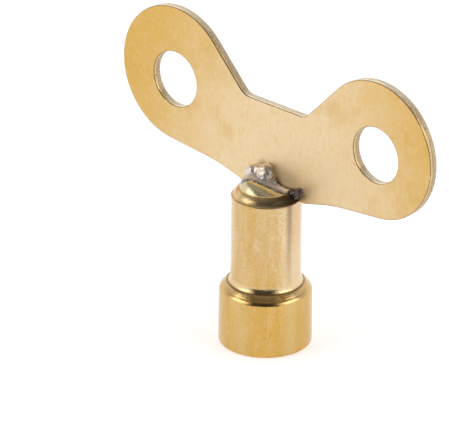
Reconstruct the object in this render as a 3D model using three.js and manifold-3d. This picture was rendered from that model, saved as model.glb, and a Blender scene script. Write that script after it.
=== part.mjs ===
// Radiator bleed key: a stamped wing plate lap-jointed to a turned socket barrel and tacked with two beads.
// Frame: millimetres, +Z up along the barrel, origin on the barrel's axis at the socket mouth, wings along X.
import * as THREE from "three";
import { mergeVertices } from "three/addons/utils/BufferGeometryUtils.js";
import Module from "manifold-3d";

const wasm = await Module();
wasm.setup();

// Socket barrel, turned from 10 mm bar.
const COLLAR_R = 5.0; // the thick end, which holds the square socket
const COLLAR_TOP = 5.93; // where the collar's straight wall stops
const SHOULDER_R = 4.06; // the crease between the shoulder and the hollow under the neck
const SHOULDER_Z = 7.04;
const HOLLOW_R = 1.3; // the hollow's curve, which carries the shoulder into the neck
const HOLLOW_END_R = 3.8; // the neck's radius where the hollow ends
const NECK_R = 3.75;
const NECK_FLARE_Z = 9.8; // the neck is straight above this
const NECK_TOP = 17.0;
const CHAMFER_R = 3.05; // the neck's top chamfer ends here
const CHAMFER_TOP = 17.8;
const BOSS_R = 2.9; // the post that carries the wing plate
const BOSS_TOP = 19.05; // before its top is cut to a slope
const BOSS_RIM_Z = 17.95; // the post's top falls to this at its rim and towards +X
const TOP_Z = 18.43; // the sloping top over the barrel's axis
const TOP_SLOPE = 0.29; // how far it falls in each millimetre
const TOP_TURN = 42.5; // degrees from +X towards +Y, the way in which it falls
const EDGE_BREAK = 0.3; // the collar's bottom edge

// Square socket for a 5 mm bleed valve stem.
const SOCKET_AF = 5.1; // across the flats
const SOCKET_DEPTH = 7.0;
const PILOT_R = 2.7; // the hole that was drilled before the square was pushed in
const PILOT_DEPTH = 8.6;
const DRILL_TIP = 1.5; // height of the drill's cone
const LEAD_IN_R = 3.85; // countersink at the mouth

// Lap joint: the post is milled flat on its +Y side, down to a step that the plate stands on.
const LAP_Y = 1.0; // the milled flat, and the plate's front face
const STEP_Z = 16.9; // the step, and the plate's foot
const GAP_START = 0.9; // a thin gap is left open between post and plate from here to the +X end
const GAP_W = 0.2;
const GAP_FLOOR = 17.9;

// Wing plate, stamped from 1 mm strip.
const WING_T = 1.0;
const WING_STEP = 0.08; // small bevel on each sheared edge
const LOBE_X = 14.4;
const LOBE_Z = 26.2;
const LOBE_R = 7.65;
const HOLE_Z = 25.6; // the finger holes sit a little below the lobes' centres
const HOLE_R = 3.12;
const BRIDGE_Z = 26.8; // the flat top between the lobes
const BRIDGE_SLOPE = 46; // degrees, from the bridge up to each lobe
const BELLY_SLOPE = 5.5; // degrees, along the bottom of each lobe
const ROOT_SLOPE = 14.5; // degrees, nearer the barrel
const FOOT_HALF = 4.4; // half of the flat foot

// Tack beads, each a few rounded lumps run together: centre x, y, z and half sizes along X, Y, Z.
const TOP_BEAD = [
  { at: [-0.75, 0.62, 18.92], half: [1.25, 0.95, 1.18] },
  { at: [-1.55, 0.45, 18.9], half: [0.85, 0.8, 1.0] },
  { at: [-2.15, 0.15, 18.8], half: [0.82, 0.82, 0.88] },
];
const SIDE_BEAD = [
  { at: [3.15, 0.87, 17.65], half: [0.62, 0.5, 0.52] },
  { at: [3.8, 0.97, 18.05], half: [0.54, 0.4, 0.48] },
];

const SIDES = 72; // segments round the barrel

const rad = (degrees) => (degrees * Math.PI) / 180;

// A closed three.js geometry as a solid that can be cut and joined.
function solid(geometry) {
  const bare = geometry.clone();
  bare.deleteAttribute("normal");
  bare.deleteAttribute("uv");
  const merged = mergeVertices(bare, 1e-4);
  const mesh = new wasm.Mesh({
    numProp: 3,
    vertProperties: new Float32Array(merged.attributes.position.array),
    triVerts: new Uint32Array(merged.index.array),
  });
  return new wasm.Manifold(mesh);
}

// A solid back as a three.js geometry, with flat faces.
function geometryOf(made) {
  const { vertProperties, triVerts } = made.getMesh();
  const geometry = new THREE.BufferGeometry();
  geometry.setAttribute("position", new THREE.BufferAttribute(new Float32Array(vertProperties), 3));
  geometry.setIndex(Array.from(triVerts));
  const flat = geometry.toNonIndexed();
  flat.computeVertexNormals();
  return flat;
}

// A solid of revolution about Z from a profile of [radius, z] points that starts and ends on the axis.
function turned(profile, sides = SIDES) {
  const points = profile.map(([r, z]) => new THREE.Vector2(r, z));
  return solid(new THREE.LatheGeometry(points, sides).rotateX(Math.PI / 2));
}

function box(x0, x1, y0, y1, z0, z1) {
  const geometry = new THREE.BoxGeometry(x1 - x0, y1 - y0, z1 - z0);
  return solid(geometry.translate((x0 + x1) / 2, (y0 + y1) / 2, (z0 + z1) / 2));
}

// Points on an arc of a profile, from angle a to angle b in degrees.
function arc(cx, cz, r, a, b, steps) {
  return Array.from({ length: steps + 1 }, (_, i) => {
    const t = rad(a + ((b - a) * i) / steps);
    return [cx + r * Math.cos(t), cz + r * Math.sin(t)];
  });
}

// The barrel's turned outside: collar, rounded shoulder, hollow, flared neck, top chamfer and domed post.
function barrelBlank() {
  const roundR = 1.05; // the rounding between the collar's wall and the shoulder
  const hollowX = HOLLOW_END_R + HOLLOW_R; // the centre of the hollow's curve
  const hollowFoot = (Math.acos((hollowX - SHOULDER_R) / HOLLOW_R) * 180) / Math.PI;
  const hollowZ = SHOULDER_Z + HOLLOW_R * Math.sin(rad(hollowFoot));
  return turned([
    [0, 0],
    [COLLAR_R - EDGE_BREAK, 0],
    ...arc(COLLAR_R - EDGE_BREAK, EDGE_BREAK, EDGE_BREAK, -60, 0, 2),
    ...arc(COLLAR_R - roundR, COLLAR_TOP, roundR, 0, 62, 7),
    [SHOULDER_R + 0.06, SHOULDER_Z - 0.01],
    ...arc(hollowX, hollowZ, HOLLOW_R, 180 + hollowFoot, 184, 5),
    [NECK_R + 0.02, (hollowZ + NECK_FLARE_Z) / 2],
    [NECK_R, NECK_FLARE_Z],
    [NECK_R, NECK_TOP],
    [CHAMFER_R, CHAMFER_TOP],
    [BOSS_R - 0.12, CHAMFER_TOP + 0.03],
    [BOSS_R, BOSS_RIM_Z],
    ...arc(BOSS_R - (BOSS_TOP - BOSS_RIM_Z), BOSS_RIM_Z, BOSS_TOP - BOSS_RIM_Z, 10, 84, 7),
    [0, BOSS_TOP],
  ]);
}

// Everything above the post's sloping top.
function topCut() {
  const reach = 12;
  const slope = (Math.atan(TOP_SLOPE) * 180) / Math.PI;
  return box(-reach, reach, -reach, reach, 0, reach)
    .rotate([0, slope, 0])
    .rotate([0, 0, TOP_TURN])
    .translate([0, 0, TOP_Z])
    .subtract(box(-2 * reach, 2 * reach, -2 * reach, 2 * reach, 0, BOSS_RIM_Z));
}

// The socket: a square pushed over a drilled hole that runs deeper, with a countersunk mouth.
function socketCut() {
  const half = SOCKET_AF / 2;
  const square = box(-half, half, -half, half, -1, SOCKET_DEPTH);
  const pilot = turned([
    [0, -1],
    [PILOT_R, -1],
    [PILOT_R, PILOT_DEPTH],
    [0, PILOT_DEPTH + DRILL_TIP],
  ], 48);
  const leadIn = turned([
    [0, -0.5],
    [LEAD_IN_R + 0.5, -0.5],
    [LEAD_IN_R - 1.5, 1.5],
    [0, 1.5],
  ]);
  return square.add(pilot).add(leadIn);
}

// Everything behind the lap flat and above the step, and the open gap along the +X half of the post's edge.
function lapCut() {
  const reach = COLLAR_R + 1;
  const behind = box(-reach, reach, LAP_Y, reach, STEP_Z, BOSS_TOP + 2);
  const relief = box(GAP_START, reach, LAP_Y - GAP_W, reach, GAP_FLOOR, BOSS_TOP + 2);
  return behind.add(relief);
}

// The wing plate's outline, as one half that is mirrored: foot, belly, lobe, then down to the bridge.
function wingOutline() {
  const belly = rad(BELLY_SLOPE);
  const climb = rad(BRIDGE_SLOPE);
  const root = rad(ROOT_SLOPE);
  // The straight belly line touches the lobe's circle here.
  const bellyX = LOBE_X + LOBE_R * Math.sin(belly);
  const bellyZ = LOBE_Z - LOBE_R * Math.cos(belly);
  // The straight root line leaves the foot and meets the belly line here.
  const gap = bellyZ - STEP_Z - (bellyX - FOOT_HALF) * Math.tan(belly);
  const meetX = FOOT_HALF + gap / (Math.tan(root) - Math.tan(belly));
  const meetZ = STEP_Z + (meetX - FOOT_HALF) * Math.tan(root);
  // The line up from the bridge touches the lobe's circle here.
  const climbX = LOBE_X - LOBE_R * Math.sin(climb);
  const climbZ = LOBE_Z + LOBE_R * Math.cos(climb);
  const cornerX = climbX - (climbZ - BRIDGE_Z) / Math.tan(climb);
  const blend = 1.6; // the bend from root to belly
  const corner = 0.7; // the small round where the bridge meets the climb
  const half = new THREE.Path();
  half.moveTo(0, STEP_Z);
  half.lineTo(FOOT_HALF, STEP_Z);
  half.lineTo(meetX - blend * Math.cos(root), meetZ - blend * Math.sin(root));
  half.quadraticCurveTo(meetX, meetZ, meetX + blend * Math.cos(belly), meetZ + blend * Math.sin(belly));
  half.lineTo(bellyX, bellyZ);
  half.absarc(LOBE_X, LOBE_Z, LOBE_R, -Math.PI / 2 + belly, Math.PI / 2 + climb, false);
  half.lineTo(cornerX + corner * Math.cos(climb), BRIDGE_Z + corner * Math.sin(climb));
  half.quadraticCurveTo(cornerX, BRIDGE_Z, cornerX - corner, BRIDGE_Z);
  half.lineTo(0, BRIDGE_Z);
  const right = [];
  for (const curve of half.curves) {
    const steps = curve.isEllipseCurve ? 56 : curve.isQuadraticBezierCurve ? 6 : 1;
    right.push(...curve.getPoints(steps).slice(0, -1));
  }
  right.push(new THREE.Vector2(0, BRIDGE_Z));
  const left = right.slice(1, -1).reverse().map((p) => new THREE.Vector2(-p.x, p.y));
  return [...right, ...left];
}

// The plate stands in XZ, with its front face on the lap flat and its thickness going to +Y.
function wingPlate() {
  const shape = new THREE.Shape(wingOutline());
  for (const side of [-1, 1]) {
    const hole = new THREE.Path();
    hole.absarc(side * LOBE_X, HOLE_Z, HOLE_R + WING_STEP, 0, 2 * Math.PI, true);
    shape.holes.push(new THREE.Path(hole.getPoints(48).slice(0, -1)));
  }
  const geometry = new THREE.ExtrudeGeometry(shape, {
    depth: WING_T - 2 * WING_STEP,
    bevelThickness: WING_STEP,
    bevelSize: WING_STEP,
    bevelOffset: -WING_STEP,
    bevelSegments: 1,
  });
  return geometry.rotateX(Math.PI / 2).translate(0, LAP_Y + WING_T - WING_STEP, 0);
}

// A bead is lumps of filler run together, and it takes the shape of the metal that it touches.
function bead(lumps, metal) {
  const behindPlateFace = box(-9, 9, LAP_Y, 9, 9, 30);
  return lumps
    .map(({ at, half }) => solid(new THREE.SphereGeometry(1, 28, 16).scale(...half).translate(...at)))
    .reduce((all, lump) => all.add(lump))
    .subtract(behindPlateFace)
    .subtract(metal);
}

const barrel = barrelBlank().subtract(topCut()).subtract(socketCut()).subtract(lapCut());

const brass = { color: 0xe0b767, metalness: 1.0, roughness: 0.28 };
const group = new THREE.Group();

const barrelMesh = new THREE.Mesh(geometryOf(barrel), new THREE.MeshStandardMaterial(brass));
barrelMesh.name = "socket_barrel";
group.add(barrelMesh);

const wingMaterial = new THREE.MeshStandardMaterial({ ...brass, color: 0xe6c88a, roughness: 0.36 });
const wingMesh = new THREE.Mesh(wingPlate(), wingMaterial);
wingMesh.name = "wing_plate";
group.add(wingMesh);

const filler = { color: 0xc9c1bb, metalness: 1.0, roughness: 0.3 };
const topBead = new THREE.Mesh(geometryOf(bead(TOP_BEAD, barrel)), new THREE.MeshStandardMaterial(filler));
topBead.name = "bead_top";
group.add(topBead);

const sooty = new THREE.MeshStandardMaterial({ ...filler, color: 0x6f655c, roughness: 0.55 });
const sideBead = new THREE.Mesh(geometryOf(bead(SIDE_BEAD, barrel)), sooty);
sideBead.name = "bead_side";
group.add(sideBead);

export default group;
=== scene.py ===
# %% [markdown]
# # A radiator bleed key
# The key is a small brass hand tool. A turned barrel has a square socket in its foot, and a flat wing plate
# with two finger holes is lapped against a post on the barrel's top. Filler metal holds the joint.
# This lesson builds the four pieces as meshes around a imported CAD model, which gives the main places and
# sizes.

# %% Load the frame
import math

import bmesh
import bpy
from mathutils import Matrix, Vector, geometry, noise


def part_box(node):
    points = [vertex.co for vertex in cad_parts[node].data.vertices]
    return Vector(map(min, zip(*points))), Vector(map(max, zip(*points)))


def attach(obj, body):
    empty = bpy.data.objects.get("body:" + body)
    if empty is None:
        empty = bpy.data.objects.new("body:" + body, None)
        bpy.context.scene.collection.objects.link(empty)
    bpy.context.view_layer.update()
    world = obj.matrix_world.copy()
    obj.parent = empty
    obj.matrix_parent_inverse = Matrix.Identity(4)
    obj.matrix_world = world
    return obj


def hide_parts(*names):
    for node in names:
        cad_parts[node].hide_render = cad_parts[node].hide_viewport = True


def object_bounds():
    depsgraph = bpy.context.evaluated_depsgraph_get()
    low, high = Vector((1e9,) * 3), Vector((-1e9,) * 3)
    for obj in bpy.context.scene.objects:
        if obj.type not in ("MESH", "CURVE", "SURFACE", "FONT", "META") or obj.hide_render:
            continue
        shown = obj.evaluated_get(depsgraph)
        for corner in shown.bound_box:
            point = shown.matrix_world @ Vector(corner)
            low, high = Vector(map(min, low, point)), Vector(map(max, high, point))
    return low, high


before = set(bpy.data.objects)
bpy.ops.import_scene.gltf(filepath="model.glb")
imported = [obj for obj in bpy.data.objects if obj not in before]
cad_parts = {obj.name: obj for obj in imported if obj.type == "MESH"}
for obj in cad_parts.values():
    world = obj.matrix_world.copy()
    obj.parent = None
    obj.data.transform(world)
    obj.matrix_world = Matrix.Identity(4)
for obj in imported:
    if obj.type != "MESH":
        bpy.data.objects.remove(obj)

MM = 0.001
cad_low, cad_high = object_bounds()
print("CAD box in mm:", [round(v / MM, 2) for v in (*cad_low, *cad_high)])

# %% [markdown]
# ## Where everything is
# The barrel's box gives the collar's radius, and the plate's box gives the lap face, the step that the plate
# stands on and the plate's thickness. Other places are measured from these. The shapes below are drawn in
# millimetres, because that is how a maker thinks, and are scaled to metres as each mesh is finished.

# %% Read the driving sizes off the frame
barrel_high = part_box("socket_barrel")[1] / MM
plate_low, plate_high = (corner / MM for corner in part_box("wing_plate"))
COLLAR_R = barrel_high.x
LAP_Y = plate_low.y  # the milled flat on the post, and the plate's front face
STEP_Z = plate_low.z  # the step that the plate's foot stands on
PLATE_T = plate_high.y - plate_low.y
print(f"collar {2 * COLLAR_R:.2f} mm across, plate {PLATE_T:.2f} mm thick")
print(f"lap face at y {LAP_Y:.2f}, step at z {STEP_Z:.2f}")

# %% [markdown]
# ## Meshes made of rings
# A turned part could be spun from a profile with the Screw modifier, but this one has a square hole below and
# a half-round post above. So the barrel is lofted: a stack of closed rings with the same number of points,
# each joined to the next by quads. Two rings may share points where a section changes, and the doubles are
# merged afterwards, which leaves one clean skin.

# %% Finish a piece
SMOOTH_BELOW = math.radians(38)  # edges that turn less than this are shaded smooth
MERGE_GAP = 2e-4  # points closer than this, in millimetres, become one
SLIVER = 1e-5  # edges shorter than this are taken out


def finish_piece(name, bm, node, material):
    """Turns a millimetre bmesh into a named piece in metres that rides with the key and replaces its node."""
    bmesh.ops.remove_doubles(bm, verts=bm.verts, dist=MERGE_GAP)
    bmesh.ops.dissolve_degenerate(bm, edges=bm.edges, dist=SLIVER)
    bmesh.ops.recalc_face_normals(bm, faces=bm.faces)
    bmesh.ops.scale(bm, verts=bm.verts, vec=(MM, MM, MM))
    mesh = bpy.data.meshes.new(name)
    bm.to_mesh(mesh)
    bm.free()
    mesh.shade_smooth()
    mesh.set_sharp_from_angle(angle=SMOOTH_BELOW)
    piece = bpy.data.objects.new(name, mesh)
    bpy.context.scene.collection.objects.link(piece)
    mesh.materials.append(material)
    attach(piece, "root")
    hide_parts(node)
    print(f"{name}: {len(mesh.vertices)} points, {len(mesh.polygons)} faces")


# %% Loft rings
def loft(bm, rings, start=None, end=None):
    """Joins a list of closed rings with quads. A start or end point closes that side with a fan."""
    loops = [[bm.verts.new(point) for point in ring] for ring in rings]
    for lower, upper in zip(loops, loops[1:]):
        count = len(lower)
        for i in range(count):
            j = (i + 1) % count
            bm.faces.new((lower[i], lower[j], upper[j], upper[i]))
    for point, loop in ((start, loops[0]), (end, loops[-1])):
        if point is not None:
            tip = bm.verts.new(point)
            for i in range(len(loop)):
                bm.faces.new((loop[i], loop[(i + 1) % len(loop)], tip))


# %% Even steps and arcs
def even(first, last, steps):
    """Evenly spaced numbers, both ends included."""
    return [first + (last - first) * i / steps for i in range(steps + 1)]


def arc(centre, radius, first, last, steps):
    """Points on an arc of a profile, between two angles in degrees."""
    angles = [math.radians(angle) for angle in even(first, last, steps)]
    return [(centre[0] + radius * math.cos(a), centre[1] + radius * math.sin(a)) for a in angles]


print("four even steps from 0 to 1:", even(0.0, 1.0, 4))

# %% [markdown]
# ## Shader sums as plain Python
# A finish is easier to read as a sum than as a web of nodes. One small class wraps a node's output, so that
# `1 - mask` or `grain * 0.2` adds the Math node by itself. Every other node comes from one method, which sets
# the node's settings first and then its inputs.

# %% Outputs that can be summed
class Output:
    """A node's output that can be added, multiplied and so on."""

    def __init__(self, finish, socket):
        self.finish = finish
        self.socket = socket

    def sum(self, operation, first, second=0.0):
        return self.finish.node("ShaderNodeMath", {"operation": operation}, {0: first, 1: second})

    def __add__(self, other):
        return self.sum("ADD", self, other)

    def __sub__(self, other):
        return self.sum("SUBTRACT", self, other)

    def __rsub__(self, other):
        return self.sum("SUBTRACT", other, self)

    def __mul__(self, other):
        return self.sum("MULTIPLY", self, other)

    def __abs__(self):
        return self.sum("ABSOLUTE", self)

    __radd__ = __add__
    __rmul__ = __mul__

    def smooth(self, low, high):
        """0 below low, 1 above high, and a soft step between."""
        limits = {"Value": self, "From Min": low, "From Max": high}
        return self.finish.node("ShaderNodeMapRange", {"interpolation_type": "SMOOTHSTEP"}, limits)

    def near(self, centre, width):
        """1 where the value is at the centre, and 0 further away than the width."""
        return 1 - abs(self - centre).smooth(0.0, width)


# %% Trees that are written as sums
COLOUR_IN_A, COLOUR_IN_B, COLOUR_OUT = 6, 7, 2  # the colour sockets of a Mix node


class Finish:
    """A node tree that is written as sums of its nodes."""

    def __init__(self, tree):
        self.tree = tree
        tree.nodes.clear()

    def node(self, kind, settings=None, inputs=None, output=0):
        made = self.tree.nodes.new(kind)
        for name, value in (settings or {}).items():
            setattr(made, name, value)
        for name, value in (inputs or {}).items():
            if isinstance(value, Output):
                self.tree.links.new(value.socket, made.inputs[name])
            else:
                made.inputs[name].default_value = value
        return Output(self, made.outputs[output])

    def place(self):
        """The point on the piece, in millimetres."""
        point = self.node("ShaderNodeTexCoord", output="Object")
        return self.node("ShaderNodeVectorMath", {"operation": "SCALE"}, {0: point, "Scale": 1 / MM})

    def parts(self, vector):
        """The x, y and z of a vector."""
        split = self.node("ShaderNodeSeparateXYZ", None, {0: vector}).socket.node
        return [Output(self, socket) for socket in split.outputs]

    def stretched(self, place, x, y, z):
        """The point with each direction scaled. A pattern is drawn out where the scale is smallest."""
        return self.node("ShaderNodeVectorMath", {"operation": "MULTIPLY"}, {0: place, 1: (x, y, z)})

    def distance(self, place, centre):
        """How far the point is from a centre."""
        return self.node("ShaderNodeVectorMath", {"operation": "DISTANCE"}, {0: place, 1: centre}, "Value")

    def clouds(self, place, scale, detail=3.0, roughness=0.55):
        """Soft random patches, about 1 / scale millimetres across, from 0 to 1."""
        inputs = {"Vector": place, "Scale": scale, "Detail": detail, "Roughness": roughness}
        return self.node("ShaderNodeTexNoise", None, inputs)

    def blend(self, mask, first, second):
        """The first colour where the mask is 0, and the second where it is 1."""
        colours = {0: mask, COLOUR_IN_A: first, COLOUR_IN_B: second}
        return self.node("ShaderNodeMix", {"data_type": "RGBA"}, colours, COLOUR_OUT)

    def layered(self, base, *layers):
        """A base colour with other colours laid over it in turn, each through its own mask."""
        for mask, colour in layers:
            base = self.blend(mask, base, colour)
        return base

    def bump(self, height, depth):
        """A bumped normal. The height is from 0 to 1 and the depth is in millimetres."""
        inputs = {"Strength": 1.0, "Distance": depth * MM, "Height": height}
        return self.node("ShaderNodeBump", None, inputs)

    def end_with(self, shader, kind):
        """Links the shader to the tree's output node."""
        ending = self.tree.nodes.new(kind)
        self.tree.links.new(shader.socket, ending.inputs["Surface"])

    def metal(self, colour, roughness, normal, metallic=1.0):
        """Ends the tree with a metal shader."""
        inputs = {"Base Color": colour, "Metallic": metallic, "Roughness": roughness, "Normal": normal}
        self.end_with(self.node("ShaderNodeBsdfPrincipled", None, inputs), "ShaderNodeOutputMaterial")


# %% Start a material
def new_finish(name):
    """A new material and the finish that writes its nodes."""
    material = bpy.data.materials.new(name)
    material.use_nodes = True
    return material, Finish(material.node_tree)


# %% [markdown]
# ## Brass
# Bright brass has no colour of its own in the paint sense: it tints what it mirrors. Where it was only turned
# and tumbled it stays a full yellow. Near the joint the brazing flame and the acid bath after it have drawn
# some zinc out of the skin, so it is paler and pinker there. Every finish below mixes these tones.

# %% Tones of the brass, in linear light
YELLOW_BRASS = (0.67, 0.42, 0.115, 1.0)
DEEP_BRASS = (0.58, 0.34, 0.07, 1.0)
PALE_BRASS = (0.67, 0.50, 0.265, 1.0)
BLEACHED_BRASS_AND_HIGHLIGHT = (0.79, 0.62, 0.385, 1.0)
PINK_BRASS = (0.78, 0.57, 0.40, 1.0)
TARNISH_AND_SHADE = (0.30, 0.19, 0.09, 1.0)
print("from yellow", YELLOW_BRASS[:3], "to bleached", BLEACHED_BRASS_AND_HIGHLIGHT[:3])

# %% [markdown]
# ## The barrel's finish
# A lathe tool leaves fine grooves round the bar, and tumbling in a drum afterwards blurs them and adds small
# random scratches. The grooves are noise that changes quickly along Z and hardly at all round the barrel.
# The colour is laid on in the order in which the real one came about: the bare metal, then the marks of the
# flame and flux, then tarnish in scuffs and patches. Over these lies painted light: a dark streak down the
# neck for a reflected shadow, painted shade along the neck's top edge, in the crease and on the shoulder's
# flanks, painted sheen along the sides that the viewer sees edge on, and a painted highlight in the hollow.

# %% Bare metal of the barrel
NECK_STARTS = (7.1, 7.4)  # the neck's paler skin starts between these heights


def turned_colour(finish, place, heat, patches, scuffs):
    """Yellow at the collar and paler towards the flame, with streaks, speckle and scuffs."""
    x, y, z = finish.parts(place)
    streaks = finish.clouds(finish.stretched(place, 1.0, 1.0, 0.14), 1.0, 3.0)
    speckle = finish.clouds(place, 4.0, 4.0, 0.65)
    bleach = (x * 0.7 + y * 0.7 + patches * 2.0).smooth(1.5, 3.2) * z.smooth(*NECK_STARTS)
    return finish.layered(
        YELLOW_BRASS,
        (heat * 0.8, PALE_BRASS),
        (bleach * 0.95, BLEACHED_BRASS_AND_HIGHLIGHT),
        ((1 - patches.smooth(0.32, 0.60)) * (0.2 + heat * 0.25), PINK_BRASS),
        ((1 - streaks.smooth(0.35, 0.60)) * 0.45, DEEP_BRASS),
        (speckle.smooth(0.48, 0.64) * 0.55, DEEP_BRASS),
        (scuffs.smooth(0.58, 0.70) * 0.45, TARNISH_AND_SHADE),
    )


# %% Marks of the flame and flux
SHADOW_STREAK_BROWN = (0.37, 0.265, 0.175, 1.0)
BURNT_END = Vector((3.2, 0.6, 17.6))  # the middle of the sooty end of the joint
SHADOW_STREAK_Y = -0.43  # painted shade: a dark streak down the neck, below the sooty end, stands in for the floor's shadow reflected in it
SIDEWAYS = Vector((0.737, 0.676))  # level, and the way in which the post's top leans down
NEARER = Vector((0.676, -0.737))  # level too, and square to it


def along(x, y, way):
    """How far a point is along a level direction, for numbers and for outputs."""
    return x * way.x + y * way.y


def flame_marks(finish, place, colour, patches, scuffs, burnt):
    """Flux splashed the foot of the neck, a painted dark streak runs down it in place of a reflected floor
    shadow, and the metal round the joint's end burnt.
    """
    x, y, z = finish.parts(place)
    splashed = (along(x, y, SIDEWAYS) + patches).smooth(1.8, 3.0) * (1 - z.smooth(8.5, 15.0))
    painted_shadow_streak = y.near(SHADOW_STREAK_Y, 0.62) * x.smooth(0.0, 1.0) * (z + scuffs * 4.0).smooth(5.0, 20.0)
    return finish.layered(
        colour,
        (splashed * z.smooth(*NECK_STARTS) * 0.65, BLEACHED_BRASS_AND_HIGHLIGHT),
        # painted shade: this dark streak stands for the key's shadow on the floor, reflected down the neck
        (painted_shadow_streak, SHADOW_STREAK_BROWN),
        (burnt * 0.9 * z.smooth(16.7, 17.0), TARNISH_AND_SHADE),
    )


# %% Edges, corners and painted light
OLD_TARNISH = (0.15, 0.11, 0.07, 1.0)
WETTED_BRASS = (0.66, 0.57, 0.36, 1.0)
RELIEF_Z = 7.06  # the corner where the shoulder meets the neck
LIP_Z = STEP_Z + 0.03  # the neck's top edge


def edge_marks_and_painted_light(finish, place, colour, heat, patches, scuffs):
    """Painted sheen on the sides, soot on the chamfer, filler wetting the post, a painted highlight in the
    hollow, painted shade in the corners and on the shoulder's flanks, and tarnish on the cone.
    """
    x, y, z = finish.parts(place)
    across = along(x, y, SIDEWAYS)
    off_middle = abs(across)
    painted_side_sheen = off_middle.near(2.7, 1.5) * 0.4 + off_middle.smooth(3.6, 5.0) * 0.4
    sooted = z.smooth(16.98, 17.08) * (1 - z.smooth(17.75, 17.9)) * (across + scuffs).smooth(-1.6, 2.2)
    return finish.layered(
        colour,
        # painted sheen: the sides of the neck and collar, as the viewer sees them, are paler, as a grazing
        # reflection would make them
        (off_middle.smooth(2.7, 3.7) * heat * 0.4, PINK_BRASS),
        (painted_side_sheen * (1 - heat), PALE_BRASS),
        (z.smooth(17.9, 18.0) * 0.85, WETTED_BRASS),
        # painted highlight: a pale ring in the hollow above the crease
        (z.near(7.4, 0.5) * 0.6, BLEACHED_BRASS_AND_HIGHLIGHT),
        (sooted * 0.85, OLD_TARNISH),
        # painted shade: dark lines along the neck's top edge and in the crease above the shoulder
        (z.near(LIP_Z, 0.10) * (0.4 + scuffs * 0.6), TARNISH_AND_SHADE),
        (z.near(RELIEF_Z, 0.12) * 0.85, TARNISH_AND_SHADE),
        # painted shade: dark spots on both flanks of the shoulder, as the viewer sees them, stand for dark
        # reflections
        (off_middle.near(3.9, 0.8) * z.near(6.55, 0.5) * 0.5, TARNISH_AND_SHADE),
        (z.near(6.9, 0.9) * patches.smooth(0.45, 0.7) * 0.3, TARNISH_AND_SHADE),
    )


# %% Barrel brass
SHOULDER_Z = 6.6  # the middle of the shoulder, which was cut last and is the brightest


def barrel_brass():
    material, finish = new_finish("barrel_brass")
    place = finish.place()
    z = finish.parts(place)[2]
    grooves = finish.clouds(finish.stretched(place, 0.4, 0.4, 9.0), 1.0, 4.0)
    patches = finish.clouds(place, 0.8, 5.0, 0.6)
    scuffs = finish.clouds(finish.stretched(place, 3.0, 3.0, 1.0), 2.0, 5.0, 0.7)
    heat = (z + patches * 3.0).smooth(6.5, 12.0)
    burnt = 1 - (finish.distance(place, BURNT_END) + scuffs * 1.4).smooth(1.2, 4.4)
    colour = turned_colour(finish, place, heat, patches, scuffs)
    colour = flame_marks(finish, place, colour, patches, scuffs, burnt)
    colour = edge_marks_and_painted_light(finish, place, colour, heat, patches, scuffs)
    roughness = 0.20 + scuffs.smooth(0.35, 0.8) * 0.14 + burnt * 0.2 - z.near(SHOULDER_Z, 1.1) * 0.07
    normal = finish.bump(grooves * 0.5 + scuffs * 0.35 + patches * 0.5, 0.02)
    finish.metal(colour, roughness, normal)
    return material


BARREL_BRASS = barrel_brass()
print("barrel finish:", len(BARREL_BRASS.node_tree.nodes), "nodes")

# %% [markdown]
# ## The socket
# The square hole is pushed through a drilled one, so a section across it is a square with round bulges where
# the drill was wider than the square's flats. In polar form that is one line: at each angle, the larger of
# the drill's radius and the square's. The mouth has a countersink, which cuts the square's corners back.

# %% Socket sizes and section
SOCKET_HALF = 2.55
SOCKET_DEPTH = 7.0
PILOT_R = 2.7
PILOT_DEPTH = 8.6
DRILL_TIP = 1.5
LEAD_IN_R = 3.85


def socket_reach(angle):
    """How far the socket's wall is from the axis at an angle."""
    square = SOCKET_HALF / max(abs(math.cos(angle)), abs(math.sin(angle)))
    return max(PILOT_R, square)


print(f"square {2 * SOCKET_HALF} mm, corner reach {socket_reach(math.pi / 4):.2f} mm")

# %% [markdown]
# ## The barrel's profile
# From the foot up: a straight collar, a rounded shoulder that falls to a crease, a tight hollow, a flare that
# dies away into the neck, a chamfer with a small lip below it, and the foot of the post. Each stretch is an
# arc, a line, or a curve drawn towards a corner that it never reaches. The hollow matters most, since it
# squeezes the whole room into a few thin bright and dark rings.

# %% Curves of a profile
def bend(a, b, c, steps):
    """A curve from a to c that leaves and arrives along the lines to the corner b."""
    curve = []
    for t in even(0.0, 1.0, steps):
        shares = ((1 - t) ** 2, 2 * t * (1 - t), t * t)
        curve.append(tuple(shares[0] * p + shares[1] * q + shares[2] * r for p, q, r in zip(a, b, c)))
    return curve


def moved(point, out, up):
    """A profile's point, moved outwards and upwards."""
    return (point[0] + out, point[1] + up)


print("a bend:", bend((0, 0), (1, 0), (1, 1), 2))

# %% Profile of the collar and shoulder
EDGE_BREAK = 0.3
COLLAR_TOP = 5.93
CONE_FOOT = (4.68, 6.55)  # the shoulder's round ends and its cone starts
CONE_TOP = (4.32, 6.93)
CREASE = (4.06, 7.04)

foot_edge = [(LEAD_IN_R, 0.0), (COLLAR_R - EDGE_BREAK, 0.0)]
foot_edge += arc((COLLAR_R - EDGE_BREAK, EDGE_BREAK), EDGE_BREAK, -80, 0, 8)
collar = [(COLLAR_R, z) for z in even(0.5, COLLAR_TOP - 0.1, 16)]
shoulder = bend((COLLAR_R, COLLAR_TOP), (COLLAR_R, COLLAR_TOP + 0.34), CONE_FOOT, 16)
cone = bend(CONE_FOOT, moved(CONE_FOOT, -0.18, 0.21), CONE_TOP, 8)
ledge = bend(CONE_TOP, moved(CONE_TOP, -0.16, 0.15), CREASE, 12)
print(f"the shoulder falls from {2 * COLLAR_R:.2f} to {2 * CREASE[0]:.2f} mm across")

# %% Profile of the hollow and neck
HOLLOW_BEND = 1.3  # the radius of the hollow above the crease
HOLLOW_R, HOLLOW_Z = 3.80, 7.84  # where the hollow has turned upright
NECK_R = 3.75
FLARE_TOP = 9.8

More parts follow.
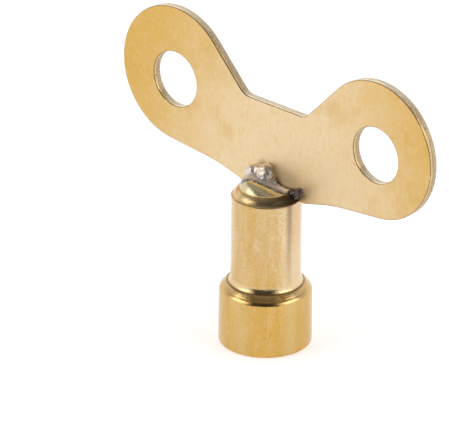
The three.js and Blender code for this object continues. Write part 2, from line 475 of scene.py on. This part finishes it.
relief = bend(CREASE, moved(CREASE, -0.04, -0.04), moved(CREASE, -0.05, 0.05), 6)
hollow = arc((HOLLOW_R + HOLLOW_BEND, HOLLOW_Z), HOLLOW_BEND, 180 + 35, 180 + 3, 20)
flare = bend(hollow[-1], (NECK_R + 0.02, 8.8), (NECK_R, FLARE_TOP), 18)
neck = [(NECK_R, z) for z in even(FLARE_TOP + 0.3, STEP_Z - 0.12, 20)]
below_step = foot_edge + collar + shoulder + cone + ledge + relief + hollow + flare + neck
print("profile points below the step:", len(below_step))

# %% Profile of the chamfer and the post's foot
LIP = 0.04  # how far the chamfering tool pushed the neck's top edge out
CHAMFER_R, CHAMFER_TOP = 3.05, 17.8
POST_R = 2.9

lip = bend((NECK_R + LIP, LIP_Z), (NECK_R + LIP, STEP_Z + 0.10), (NECK_R - 0.06, STEP_Z + 0.12), 6)
chamfer = [(NECK_R - 0.17, STEP_Z + 0.23), (NECK_R - 0.4, STEP_Z + 0.48)]
post_corner = (POST_R - 0.03, CHAMFER_TOP + 0.03)
post_foot = bend((CHAMFER_R + 0.05, CHAMFER_TOP - 0.06), post_corner, (POST_R, CHAMFER_TOP + 0.10), 6)
above_step = [(NECK_R, STEP_Z)] + lip + chamfer + post_foot
print("profile points above the step:", len(above_step))

# %% [markdown]
# ## The post and the step
# Above the step the barrel is milled away behind the lap flat, so each ring is a D: an arc in front and a
# straight line behind. The points are shared out anew for every ring, so that one of them always sits on
# each corner of the D and the milled edges stay crisp.

# %% Round rings and D rings
FRONT_STEPS, BACK_STEPS = 300, 132
LAP_CORNER = math.asin(LAP_Y / NECK_R)


def front_angles(corner):
    """Angles round the front of the barrel, from one corner of the lap flat to the other."""
    return even(math.pi - corner, 2 * math.pi + corner, FRONT_STEPS)[:-1]


def full_turn():
    """Angles all round the barrel, shared out like those of a D ring."""
    return front_angles(LAP_CORNER) + even(LAP_CORNER, math.pi - LAP_CORNER, BACK_STEPS)[:-1]


def round_ring(radius, z):
    return [(radius * math.cos(a), radius * math.sin(a), z) for a in full_turn()]


def lapped_ring(radius, lap, height):
    """A D ring with its flat at y = lap."""
    corner = math.asin(lap / radius)
    flat = radius * math.cos(corner)
    points = [(radius * math.cos(a), radius * math.sin(a), height) for a in front_angles(corner)]
    return points + [(x, lap, height) for x in even(flat, -flat, BACK_STEPS)[:-1]]


print("points in a ring:", len(full_turn()))

# %% [markdown]
# ## The post's top
# The post's top was never faced flat. It leans down towards one end, it is domed, so that it falls more and
# more steeply to its rim, and shallow dents cover it. One function gives its height over any point, and the
# filler uses it again later.

# %% Height of the post's top
POST_RIM_Z = 17.95
TOP_MIDDLE_Z = 18.43  # over the barrel's axis, if there were no dents
TOP_SLOPE = 0.29
CROWN_R = 1.3  # the top starts to fall to its rim from here outwards
TOP_FALL = 2.6  # the power of the fall: 2 would be a plain dome, and more keeps the middle flatter
DENT = 0.05


def post_height(x, y):
    """The height of the post's top over a point."""
    outward = min(1.0, max(0.0, (math.hypot(x, y) - CROWN_R) / (POST_R - CROWN_R)))
    plane = max(POST_RIM_Z, TOP_MIDDLE_Z - TOP_SLOPE * along(x, y, SIDEWAYS))
    dents = DENT * noise.noise(Vector((x * 1.1, y * 1.1, 3.0)))
    return plane - (plane - POST_RIM_Z) * outward ** TOP_FALL + dents * (1 - outward)


print(f"top at z {post_height(-1, -1):.2f} on its high side and {post_height(1, 0.5):.2f} on its low side")

# %% Rings of the barrel
GAP = 0.2  # the plate stands off the top of the post by this much, where no filler ran in
TOP_TIP_Y = -0.7  # the rings of the post's top shrink towards this point in front of the axis


def socket_wall(height):
    """A ring on the socket's wall. Its height depends on how far the wall is from the axis."""
    ring = []
    for angle in full_turn():
        reach = socket_reach(angle)
        ring.append((reach * math.cos(angle), reach * math.sin(angle), height(reach)))
    return ring


def socket_rings():
    """The inside, from the drilled hole down to the countersunk mouth."""
    return [
        round_ring(PILOT_R, PILOT_DEPTH),
        round_ring(PILOT_R, SOCKET_DEPTH),
        socket_wall(lambda reach: SOCKET_DEPTH),
        socket_wall(lambda reach: LEAD_IN_R - reach),
    ]


def post_rings():
    """The post's top, from its rim to the last small ring."""
    rings = []
    for share in even(1.0, 0.64, 30) + even(0.60, 0.06, 12):
        ring = []
        for x, y, _ in lapped_ring(POST_R, LAP_Y - GAP, POST_RIM_Z):
            inner_x, inner_y = share * x, share * (y - TOP_TIP_Y) + TOP_TIP_Y
            ring.append((inner_x, inner_y, post_height(inner_x, inner_y)))
        rings.append(ring)
    return rings


# %% Build the barrel
def build_barrel():
    rings = socket_rings()
    rings += [round_ring(radius, z) for radius, z in below_step + [(NECK_R, STEP_Z)]]
    rings += [lapped_ring(radius, LAP_Y, z) for radius, z in above_step]
    rings += post_rings()
    drill_tip = (0, 0, PILOT_DEPTH + DRILL_TIP)
    top_tip = (0, TOP_TIP_Y, post_height(0, TOP_TIP_Y))
    bm = bmesh.new()
    loft(bm, rings, drill_tip, top_tip)
    finish_piece("barrel", bm, "socket_barrel", BARREL_BRASS)


build_barrel()

# %% [markdown]
# ## The wing plate's outline
# One half of the outline is drawn and the other is its mirror image: a flat foot, a slope to the belly of the
# lobe, most of a circle, a straight climb down to a small corner, and the bridge. The lobes' places come from
# the plate's box. The points are spread evenly along the line, which keeps the edge mesh regular.

# %% Sizes of one wing
LOBE_R = 7.65
LOBE = Vector((plate_high.x - LOBE_R, plate_high.z - LOBE_R))
HOLE_R = 3.12
HOLE_Z = 25.60
BRIDGE_Z = 26.8
FOOT_HALF = 4.4
CLIMB = math.radians(46)  # slope of the straight between lobe and bridge
BELLY = math.radians(5.5)  # slope of the underside near the lobe
ROOT = math.radians(14.5)  # slope of the underside near the foot
POINT_GAP = 0.14  # spacing of points along the edges
print(f"lobe centres {2 * LOBE.x:.2f} mm apart, at z {LOBE.y:.2f}")


# %% Corners of the outline
def line_meeting(point, slope, other, other_slope):
    """Where two lines in the plate's plane cross."""
    rise, other_rise = math.tan(slope), math.tan(other_slope)
    ahead = (other.y - point.y - (other.x - point.x) * other_rise) / (rise - other_rise)
    return Vector((point.x + ahead, point.y + ahead * rise))


def rounded(corner, before, after, reach):
    """A corner of the outline bent round, from `reach` before it to `reach` after it."""
    start = corner + (before - corner).normalized() * reach
    end = corner + (after - corner).normalized() * reach
    return [Vector(p) for p in bend(start, corner, end, 10)]


def half_outline():
    belly_touch = LOBE + LOBE_R * Vector((math.sin(BELLY), -math.cos(BELLY)))
    climb_touch = LOBE + LOBE_R * Vector((-math.sin(CLIMB), math.cos(CLIMB)))
    below, above = Vector((0, STEP_Z)), Vector((0, BRIDGE_Z))
    foot = Vector((FOOT_HALF, STEP_Z))
    meeting = line_meeting(foot, ROOT, belly_touch, BELLY)
    notch = line_meeting(climb_touch, CLIMB, above, 0.0)
    turn = even(BELLY - math.pi / 2, CLIMB + math.pi / 2, 60)
    return [
        below,
        *rounded(foot, below, meeting, 0.25),
        *rounded(meeting, foot, belly_touch, 1.6),
        *[LOBE + LOBE_R * Vector((math.cos(a), math.sin(a))) for a in turn],
        *rounded(notch, climb_touch, above, 0.7),
        above,
    ]


# %% The whole outline
def spread_evenly(points, gap):
    """The same closed line with points at even spacing."""
    closed = points + [points[0]]
    lengths = [0.0]
    for a, b in zip(closed, closed[1:]):
        lengths.append(lengths[-1] + (b - a).length)
    count = round(lengths[-1] / gap)
    spread, k = [], 0
    for i in range(count):
        want = lengths[-1] * i / count
        while lengths[k + 1] < want:
            k += 1
        share = (want - lengths[k]) / (lengths[k + 1] - lengths[k])
        spread.append(closed[k].lerp(closed[k + 1], share))
    return spread


right_half = half_outline()
left_half = [Vector((-p.x, p.y)) for p in reversed(right_half[1:-1])]
outline = spread_evenly(right_half + left_half, POINT_GAP)
print("outline:", len(outline), "points")

# %% [markdown]
# ## What a press does to an edge
# The punch first bends the metal down at the rim, then cuts a smooth burnished band, and the rest of the
# thickness tears. So a stamped edge is a rounded roll, a bright band and a rough, slightly receding fracture,
# and its far corner is nearly sharp. The edge is lofted from copies of the outline, each a little further in
# and deeper, and noise roughens the torn part.

# %% Section of the plate's edge
# Each row: how far in from the outline in millimetres, how deep below the front face as a share of the
# thickness, and how far the noise may move it.
ROLL = [
    (0.42, 0.0, 0.0),
    (0.20, 0.002, 0.0),
    (0.10, 0.009, 0.002),
    (0.05, 0.024, 0.003),
    (0.02, 0.05, 0.004),
    (0.006, 0.09, 0.004),
]
BURNISHED = [(0.0, 0.15, 0.004), (0.0, 0.24, 0.006), (0.004, 0.30, 0.012)]
TORN = [
    (0.012, 0.36, 0.022),
    (0.015, 0.46, 0.028),
    (0.018, 0.56, 0.028),
    (0.02, 0.66, 0.028),
    (0.022, 0.76, 0.028),
    (0.025, 0.86, 0.022),
    (0.03, 0.93, 0.012),
]
FAR_CORNER = [(0.045, 0.985, 0.004), (0.08, 1.0, 0.0), (0.42, 1.0, 0.0)]
EDGE_ROWS = ROLL + BURNISHED + TORN + FAR_CORNER
print("rings in an edge:", len(EDGE_ROWS))


# %% Edges of the outline and the holes
def normals_of(points):
    """The outward direction at each point of a closed line that runs anticlockwise."""
    count = len(points)
    ways = [(points[(i + 1) % count] - points[i - 1]).normalized() for i in range(count)]
    return [Vector((way.y, -way.x)) for way in ways]


def edge_rings(points, inward):
    """The rings of one edge. `inward` is 1 for the outline and -1 for a hole, whose metal is outside it."""
    normals = normals_of(points)
    rings = []
    for inset, depth, rough in EDGE_ROWS:
        ring = []
        for point, normal in zip(points, normals):
            tear = rough * noise.noise(Vector((point.x * 3.1, point.y * 3.1, depth * 7.0)))
            edge_point = point - normal * inward * (inset - tear)
            ring.append(Vector((edge_point.x, LAP_Y + depth * PLATE_T, edge_point.y)))
        rings.append(ring)
    return rings


def hole_outline(side):
    """The finger hole on the +X side for 1, and on the -X side for -1."""
    count = round(2 * math.pi * HOLE_R / POINT_GAP)
    turns = [2 * math.pi * i / count for i in range(count)]
    return [Vector((side * LOBE.x + HOLE_R * math.cos(a), HOLE_Z + HOLE_R * math.sin(a))) for a in turns]


# %% [markdown]
# ## The plate's two faces
# A face of a stamping is never quite flat, so it needs points inside its outline as well. A constrained
# Delaunay triangulation takes the outline, both holes and a loose grid of inner points, and gives even
# triangles. The same inner points serve both faces, and a very shallow wave moves them.

# %% A grid inside the outline
GRID_GAP = 0.75
RIM_GAP = 0.5  # the grid keeps this far from the outline
HOLE_GAP = 0.8  # and this far from the holes


def inside(point, line):
    """Whether a point is inside a closed line, by counting the sides that it sees to its right."""
    hit = False
    for a, b in zip(line, line[1:] + line[:1]):
        if (a.y > point.y) != (b.y > point.y):
            crossing = (b.x - a.x) * (point.y - a.y) / (b.y - a.y) + a.x
            if point.x < crossing:
                hit = not hit
    return hit


def in_the_metal(point, rim):
    """Whether a point is well inside the rim and clear of both holes."""
    for side in (-1, 1):
        if (point - Vector((side * LOBE.x, HOLE_Z))).length < HOLE_R + HOLE_GAP:
            return False
    return inside(point, rim) and all((point - other).length > RIM_GAP for other in rim[::3])


def inner_grid(rim):
    """A staggered grid of points well inside the face."""
    grid = []
    for i in range(int(2 * plate_high.x / GRID_GAP)):
        for k in range(int((plate_high.z - plate_low.z) / GRID_GAP)):
            point = Vector((plate_low.x + (i + 0.5 * (k % 2)) * GRID_GAP, plate_low.z + k * GRID_GAP))
            if in_the_metal(point, rim):
                grid.append(point)
    return grid


# %% Triangles of a face
def face_triangles(lines, grid):
    """Triangles between the closed lines, as indices into all their points and then the grid's."""
    points = [p for line in lines for p in line] + grid
    edges, first = [], 0
    for line in lines:
        edges += [(first + i, first + (i + 1) % len(line)) for i in range(len(line))]
        first += len(line)
    found, _, triangles, origin, _, _ = geometry.delaunay_2d_cdt(points, edges, [], 1, 1e-6)
    kept = []
    for triangle in triangles:
        centre = sum((found[i] for i in triangle), Vector((0, 0))) / 3
        if inside(centre, lines[0]) and not any(inside(centre, hole) for hole in lines[1:]):
            kept.append([origin[i][0] for i in triangle])
    return kept


def wave(x, z):
    """The plate's unevenness, in millimetres."""
    return 0.008 * noise.noise(Vector((x * 0.16, z * 0.16, 7.0)))


def add_face(bm, rims, depth, grid):
    """Fills one face of the plate between its outline and its holes."""
    verts = [bm.verts.new((p.x, depth, p.y)) for rim in rims for p in rim]
    verts += [bm.verts.new((p.x, depth + wave(p.x, p.y), p.y)) for p in grid]
    for triangle in face_triangles(rims, grid):
        bm.faces.new([verts[i] for i in triangle])


# %% Build the wing plate
def build_plate(material):
    edges = [edge_rings(outline, 1)] + [edge_rings(hole_outline(side), -1) for side in (-1, 1)]
    bm = bmesh.new()
    for rings in edges:
        loft(bm, rings)
    grid = None
    for row in (0, -1):  # the first rings lie in the front face, and the last in the back
        rims = [[Vector((p.x, p.z)) for p in rings[row]] for rings in edges]
        grid = grid or inner_grid(rims[0])
        add_face(bm, rims, edges[0][row][0].y, grid)
    finish_piece("wing", bm, "wing_plate", material)


# %% [markdown]
# ## The plate's finish
# The strip was rolled, so its faces carry a satin grain along the wings, with cloudy patches from pickling.
# It is palest over the joint, where the flame was. The edges need their own look: the burnished band is pale
# and bright, the torn band is a rough greyish brown with specks of gold, and edges that face up get a painted
# highlight.

# %% Colour of the plate's faces
def face_colour(finish, place, specks, fine):
    """Bleached over the joint and yellow at the wings' ends, with patches, specks and fine brushing."""
    x, y, z = finish.parts(place)
    brushed = finish.clouds(finish.stretched(place, 4.0, 1.0, 0.5), 1.2, 4.0, 0.65)
    patches = finish.clouds(place, 0.30, 5.0, 0.6)
    from_heat = abs(x - 2.5) + (z - 24.0) * 0.45 + (patches - 0.5) * 9.0
    burnt = 1 - (finish.distance(place, BURNT_END) + specks * 2.0).smooth(1.2, 3.0)
    return finish.layered(
        BLEACHED_BRASS_AND_HIGHLIGHT,
        (from_heat.smooth(4.0, 25.0), YELLOW_BRASS),
        (specks.smooth(0.44, 0.80) * 0.35, YELLOW_BRASS),
        (patches.smooth(0.50, 0.75) * 0.30, DEEP_BRASS),
        ((1 - specks.smooth(0.3, 0.5)) * 0.3, PINK_BRASS),
        (brushed.smooth(0.45, 0.8) * 0.22, DEEP_BRASS),
        (fine.smooth(0.52, 0.75) * 0.25, DEEP_BRASS),
        (burnt * 0.25, TARNISH_AND_SHADE),
    )


# %% Colour of the plate's edges
TORN_GREY = (0.50, 0.39, 0.28, 1.0)
TOP_EDGE_HIGHLIGHT = (0.95, 0.80, 0.58, 1.0)


def edge_colour(finish, ragged, torn, fine, rising):
    """A pale burnished band, a speckled torn band, a dark line where one turns into the other, and a painted
    highlight on edges that face up.
    """
    return finish.layered(
        PALE_BRASS,
        (torn * 0.9, TORN_GREY),
        (torn * fine.smooth(0.50, 0.60) * 0.8, PALE_BRASS),
        (torn * (1 - fine.smooth(0.38, 0.48)) * 0.7, TARNISH_AND_SHADE),
        (ragged.near(0.40, 0.12) * 0.7, TARNISH_AND_SHADE),
        # painted highlight: edges that face up are lighter, as light from above would make them
        (rising.smooth(0.70, 0.95) * 0.85, TOP_EDGE_HIGHLIGHT),
    )


# %% Wing brass
def wing_brass():
    material, finish = new_finish("wing_brass")
    place = finish.place()
    _, y, _ = finish.parts(place)
    _, facing, rising = finish.parts(finish.node("ShaderNodeNewGeometry", output="True Normal"))
    grain = finish.clouds(finish.stretched(place, 0.8, 1.0, 6.0), 1.2, 5.0, 0.65)
    specks = finish.clouds(place, 1.7, 5.0, 0.65)
    fine = finish.clouds(place, 5.0, 4.0, 0.7)
    edge = 1 - abs(facing).smooth(0.25, 0.8)
    depth = (y - LAP_Y) * (1 / PLATE_T)
    ragged = depth + (specks - 0.5) * 0.8
    torn = ragged.smooth(0.36, 0.46)
    rolled = depth.smooth(0.008, 0.02) * (1 - depth.smooth(0.08, 0.14)) * specks.smooth(0.28, 0.45)
    colour = finish.layered(
        face_colour(finish, place, specks, fine),
        (edge, edge_colour(finish, ragged, torn, fine, rising)),
        (rolled * 0.85, TARNISH_AND_SHADE),
    )
    roughness = 0.36 + grain.smooth(0.3, 0.8) * 0.10 + edge * torn * 0.08 - edge * (1 - torn) * 0.14
    height = grain * 0.35 + fine * 0.3 + specks * 0.4 + edge * torn * fine * 2.5
    finish.metal(colour, roughness, finish.bump(height, 0.02))
    return material


WING_BRASS = wing_brass()
build_plate(WING_BRASS)
print("wing finish:", len(WING_BRASS.node_tree.nodes), "nodes")

# %% [markdown]
# ## The filler
# Molten filler pulls itself into rounded lumps that run together, wet the metal and freeze. A few squashed
# balls are joined into one skin by the Remesh modifier, smoothed the way surface tension would, and dented
# with noise. Remesh works best near unit size, so this is done in millimetres too.

# %% Melt lumps into one skin
def one_skin(bm, voxel, smoothing):
    """One closed and softened skin round everything in a bmesh."""
    mesh = bpy.data.meshes.new("lumps")
    bm.to_mesh(mesh)
    bm.free()
    lump = bpy.data.objects.new("lumps", mesh)
    bpy.context.scene.collection.objects.link(lump)
    skin = lump.modifiers.new("one_skin", "REMESH")
    skin.mode = "VOXEL"
    skin.voxel_size = voxel
    tension = lump.modifiers.new("tension", "SMOOTH")
    tension.iterations = smoothing
    tension.factor = 0.5
    seen = lump.evaluated_get(bpy.context.evaluated_depsgraph_get())
    bm = bmesh.new()
    bm.from_mesh(seen.to_mesh())
    bpy.data.objects.remove(lump)
    bpy.data.meshes.remove(mesh)
    return bm


def melted(lumps, voxel, smoothing, dents, flow=None):
    """A dented skin round a few squashed balls and a flow. Each lump is its centre and its half sizes."""
    bm = flow or bmesh.new()
    for centre, half in lumps:
        shape = Matrix.Translation(centre) @ Matrix.Diagonal((*half, 1.0))
        bmesh.ops.create_icosphere(bm, subdivisions=4, radius=1.0, matrix=shape)
    bm = one_skin(bm, voxel, smoothing)
    bm.normal_update()
    moves = []
    for vert in bm.verts:
        moves.append(vert.normal * sum(depth * noise.noise(vert.co * pitch) for pitch, depth in dents))
    for vert, move in zip(bm.verts, moves):
        vert.co += move
    return bm


def cut_behind(bm, y):
    """Cuts a skin off flat where it lies against the plate."""
    everything = bm.verts[:] + bm.edges[:] + bm.faces[:]
    bmesh.ops.bisect_plane(bm, geom=everything, plane_co=(0, y, 0), plane_no=(0, 1, 0), clear_outer=True)
    bmesh.ops.holes_fill(bm, edges=[edge for edge in bm.edges if edge.is_boundary])


# %% [markdown]
# ## Filler finishes
# Clean filler freezes to a bright silver grey, much less yellow than the brass, with a faint gold film where
# it wetted it. The thin flow under the lumps is duller and rougher. At the burnt end the filler is dark and
# pitted, and that lump gets a finish of its own.

# %% Filler metal
FILLER_GREY = (0.74, 0.65, 0.57, 1.0)
FLOW_GREY = (0.80, 0.76, 0.76, 1.0)
FILLER_DULL = (0.24, 0.22, 0.20, 1.0)
FLOW_FRONT = 1.40  # how far the flow reaches towards the viewer, over the barrel's axis
FLOW_SLANT = 0.355  # and how much further it reaches for each millimetre sideways


def filler_metal():
    material, finish = new_finish("filler_metal")
    place = finish.place()
    x, y, z = finish.parts(place)
    patches = finish.clouds(place, 0.9, 3.0)
    ripples = finish.clouds(place, 1.8, 4.0, 0.65)
    across = along(x, y, SIDEWAYS)
    level = z + across * TOP_SLOPE
    flow = 1 - level.smooth(TOP_MIDDLE_Z + 0.17, TOP_MIDDLE_Z + 0.33)
    ahead = along(x, y, NEARER) - across * FLOW_SLANT + ripples * 0.8
    border = ahead.smooth(FLOW_FRONT - 0.10, FLOW_FRONT + 0.35) * flow
    colour = finish.layered(
        FILLER_GREY,
        (patches.smooth(0.42, 0.62) * 0.6, PALE_BRASS),
        (flow * 0.85, FLOW_GREY),
        ((1 - ripples.smooth(0.36, 0.48)) * (0.3 + flow * 0.3), FILLER_DULL),
        (border * 0.85, FILLER_DULL),
    )
    roughness = 0.38 + ripples.smooth(0.45, 0.8) * 0.15
    normal = finish.bump(ripples * (0.25 + flow * 0.75), 0.08)
    finish.metal(colour, roughness, normal, 1 - flow * 0.45)
    return material


FILLER_METAL = filler_metal()
print("filler finish:", len(FILLER_METAL.node_tree.nodes), "nodes")

# %% Sooty filler
SOOT = (0.075, 0.05, 0.04, 1.0)
CRUST = (0.21, 0.15, 0.125, 1.0)


def sooty_filler():
    material, finish = new_finish("sooty_filler")
    place = finish.place()
    crust = finish.clouds(place, 2.2, 5.0, 0.7)
    glints = finish.clouds(place, 5.0, 3.0)
    colour = finish.layered(
        SOOT,
        (crust.smooth(0.4, 0.6), CRUST),
        (glints.smooth(0.58, 0.68) * 0.8, FILLER_GREY),
    )
    roughness = 0.5 - glints.smooth(0.55, 0.7) * 0.25
    finish.metal(colour, roughness, finish.bump(crust + glints * 0.4, 0.10))
    return material


SOOTY_FILLER = sooty_filler()
print("sooty finish:", len(SOOTY_FILLER.node_tree.nodes), "nodes")

# %% [markdown]
# ## The bead on the post
# One big lump leans on the plate, two smaller ones run into it, and a thin flow covers the back of the post's
# top. It stops at a slanting, wavy front. Beside the plate it leaves a narrow gap, which the filler never
# filled.

# %% The flow over the post
FLOW_THICK = 0.12
FLOW_DEEP = 0.3  # the slab reaches this far into the post, so that no gap shows below it
FLOW_MIDDLE = Vector((-0.3, 0.1))


def flow_front(point):
    """How far a point is in front of the line where the flow stopped."""
    return point.dot(NEARER) - FLOW_SLANT * point.dot(SIDEWAYS) - FLOW_FRONT


def flow_rim():
    """The border of the flow, seen from above: the post's rim, cut off along the flow's front."""
    rim = []
    start = flow_front(FLOW_MIDDLE)
    for x, y, _ in lapped_ring(POST_R - 0.12, LAP_Y - GAP, 0.0)[::3]:
        point = Vector((x, y))
        wobble = 0.30 * noise.noise(Vector((x * 1.4, y * 1.4, 9.0)))
        over = flow_front(point) + wobble
        if over > 0.0:
            point = FLOW_MIDDLE.lerp(point, start / (start - over))
        rim.append(point)
    return rim


def post_flow():
    """The thin flow over the post's top: a slab that follows the top's height."""
    rim = flow_rim()
    shares = even(0.0, 1.0, 14)[1:]
    rings = []
    for offset, order in ((-FLOW_DEEP, shares), (FLOW_THICK, shares[::-1])):
        for share in order:
            ring = [FLOW_MIDDLE.lerp(point, share) for point in rim]
            rings.append([(p.x, p.y, post_height(p.x, p.y) + offset) for p in ring])
    level = post_height(*FLOW_MIDDLE)
    bm = bmesh.new()
    loft(bm, rings, (*FLOW_MIDDLE, level - FLOW_DEEP), (*FLOW_MIDDLE, level + FLOW_THICK))
    bmesh.ops.recalc_face_normals(bm, faces=bm.faces)
    return bm


# %% Build the top bead
TOP_LUMPS = [
    ((-0.75, 0.62, 18.92), (1.25, 0.95, 1.18)),
    ((-1.55, 0.45, 18.90), (0.85, 0.80, 1.00)),
    ((-2.15, 0.15, 18.80), (0.82, 0.82, 0.88)),
    ((0.25, 0.80, 18.40), (0.45, 0.35, 0.38)),
]
top = melted(TOP_LUMPS, 0.045, 8, [(1.1, 0.12), (2.6, 0.06)], post_flow())
cut_behind(top, LAP_Y)
finish_piece("top_bead", top, "bead_top", FILLER_METAL)

# %% [markdown]
# ## The burnt bead
# At the other end of the joint the filler was overheated. It lies on the plate's face and the chamfer's end
# as a small, rough, dark crust.

# %% Build the side bead
SIDE_LUMPS = [
    ((2.62, 0.60, 17.42), (0.62, 0.50, 0.36)),
    ((3.20, 0.85, 17.70), (0.62, 0.48, 0.48)),
    ((3.85, 0.95, 18.12), (0.52, 0.38, 0.46)),
]
side = melted(SIDE_LUMPS, 0.035, 2, [(2.2, 0.25), (5.0, 0.14)])
cut_behind(side, LAP_Y)
finish_piece("side_bead", side, "bead_side", SOOTY_FILLER)

# %% [markdown]
# ## Floor
# The key stands on its socket on a plain white sheet. The floor is a real sheet far larger than the key, a
# hair below it, with a matt finish, so it bounces soft light back up into the brass.

# %% Floor
FLOOR_HALF = 3.0
FLOOR_GAP = 0.00002
FLOOR_GLOW = 0.52  # a little light of its own, as if a lamp shone through the sheet
DARK_PAPER, LIGHT_PAPER = (0.86, 0.86, 0.86, 1.0), (0.88, 0.88, 0.88, 1.0)
WHITE = (1.0, 1.0, 1.0, 1.0)

white_floor, finish = new_finish("white_floor")
mottle = finish.clouds(finish.node("ShaderNodeTexCoord", output="Object"), 30.0)
paper = finish.blend(mottle, DARK_PAPER, LIGHT_PAPER)
glow = {"Base Color": paper, "Roughness": 1.0, "Emission Color": WHITE, "Emission Strength": FLOOR_GLOW}
finish.end_with(finish.node("ShaderNodeBsdfPrincipled", None, glow), "ShaderNodeOutputMaterial")
bm = bmesh.new()
bmesh.ops.create_grid(bm, x_segments=4, y_segments=4, size=FLOOR_HALF)
sheet = bpy.data.meshes.new("floor")
bm.to_mesh(sheet)
bm.free()
sheet.materials.append(white_floor)
floor = bpy.data.objects.new("floor", sheet)
floor.location.z = cad_low.z - FLOOR_GAP
bpy.context.scene.collection.objects.link(floor)
print("floor", 2 * FLOOR_HALF, "m wide")

# %% [markdown]
# ## Camera
# A small object looks calmest through a long lens from far away. The camera looks at the middle of the key's
# box, down at about 24 degrees and 43 degrees round to the side, with the aim slid a little left and down,
# so that the key sits right of the middle.

# %% Where the camera stands
AZIMUTH, ELEVATION, ROLL = math.radians(42.52), math.radians(24.38), math.radians(0.67)
DISTANCE = 0.7086
SLIDE_LEFT, SLIDE_DOWN = 4.47 * MM, 1.74 * MM

middle = (cad_low + cad_high) / 2
toward = Vector((math.sin(AZIMUTH), -math.cos(AZIMUTH), 0.0))  # level, from the key to the viewer
level = Vector((math.cos(AZIMUTH), math.sin(AZIMUTH), 0.0))  # level, to the viewer's right
back = toward * math.cos(ELEVATION) + Vector((0.0, 0.0, math.sin(ELEVATION)))
right = math.cos(ROLL) * level + math.sin(ROLL) * back.cross(level)
eye = middle + back * DISTANCE
aim = middle - right * SLIDE_LEFT - back.cross(right) * SLIDE_DOWN
print("eye", [round(v, 3) for v in eye], "aim", [round(v, 4) for v in aim])

# %% Camera
LENS = 536.0

look_back = (eye - aim).normalized()
look_right = (right - look_back * right.dot(look_back)).normalized()
look_up = look_back.cross(look_right)
lens = bpy.data.cameras.new("camera")
lens.lens = LENS
camera = bpy.data.objects.new("camera", lens)
camera.matrix_world = Matrix((look_right, look_up, look_back)).transposed().to_4x4()
camera.matrix_world.translation = eye
bpy.context.scene.collection.objects.link(camera)
bpy.context.scene.camera = camera
print("lens", LENS, "mm")

# %% [markdown]
# ## Light
# Polished brass shows its surroundings, so the room is part of the finish. A white room lights the key
# evenly. The side where the viewer stands is left dark, and that dark gives the shoulder and the chamfer
# their deep tones. Two soft boxes at the sides put the bright streaks beside it.

# %% Room
SWEEP_LIGHT, CEILING_LIGHT, DARK_LIGHT = 1.06, 0.42, 0.05
DARK_MIDDLE = -0.08  # the dark part lies a little to the left of the viewer
DARK_SIDES = (0.58, 0.74)  # it fades out between these, as sines of the angle from the viewer
DARK_TAPER = 0.27  # and it gets narrower with height

world = bpy.data.worlds.new("room")
world.use_nodes = True
bpy.context.scene.world = world
room = Finish(world.node_tree)
way = room.node("ShaderNodeTexCoord", output="Generated")
up = room.parts(way)[2]
aside = room.node("ShaderNodeVectorMath", {"operation": "DOT_PRODUCT"}, {0: way, 1: level}, "Value")
ahead = room.node("ShaderNodeVectorMath", {"operation": "DOT_PRODUCT"}, {0: way, 1: toward}, "Value")
beside = abs(aside - DARK_MIDDLE) + up * DARK_TAPER
dark = (1 - beside.smooth(*DARK_SIDES)) * ahead.smooth(-0.05, 0.2)
walls = SWEEP_LIGHT - up.smooth(0.45, 0.70) * (SWEEP_LIGHT - CEILING_LIGHT)
shade = DARK_LIGHT + up.smooth(0.70, 0.97) * 0.25
brightness = walls * (1 - dark) + shade * dark
seen_directly = room.node("ShaderNodeLightPath", output="Is Camera Ray")  # the background is plain white
brightness = brightness * (1 - seen_directly) + seen_directly
sky = room.node("ShaderNodeBackground", None, {"Color": WHITE, "Strength": brightness})
room.end_with(sky, "ShaderNodeOutputWorld")
print("room:", len(world.node_tree.nodes), "nodes")

# %% Soft boxes
BOX_AWAY = 0.55
BOX_WIDTH = 0.38
BOX_LIGHT = 1.6  # how bright a box's face is, against about 1 for the room's walls


def soft_box(name, azimuth, low, high):
    """A box at an angle to the side of the viewer, filling the room between two heights, all in degrees."""
    turn, rise = math.radians(azimuth), math.radians((low + high) / 2)
    level_way = toward * math.cos(turn) + level * math.sin(turn)
    direction = level_way * math.cos(rise) + Vector((0, 0, math.sin(rise)))
    lamp = bpy.data.lights.new(name, "AREA")
    lamp.shape = "RECTANGLE"
    lamp.size = BOX_WIDTH
    lamp.size_y = 2 * BOX_AWAY * math.tan(math.radians(high - low) / 2)
    lamp.energy = math.pi * lamp.size * lamp.size_y * BOX_LIGHT
    box = bpy.data.objects.new(name, lamp)
    box.location = middle + direction * BOX_AWAY
    box.rotation_euler = direction.to_track_quat("Z", "Y").to_euler()
    box.visible_camera = False
    bpy.context.scene.collection.objects.link(box)
    print(name, [round(v, 2) for v in box.location])


soft_box("box_left", -72, 16, 46)
soft_box("box_right", 68, 18, 43)

# %% [markdown]
# ## Tone
# White should come out as white, so the picture is shown without a film curve.

# %% View
view = bpy.context.scene.view_settings
view.view_transform = "Standard"
print("view:", view.view_transform)
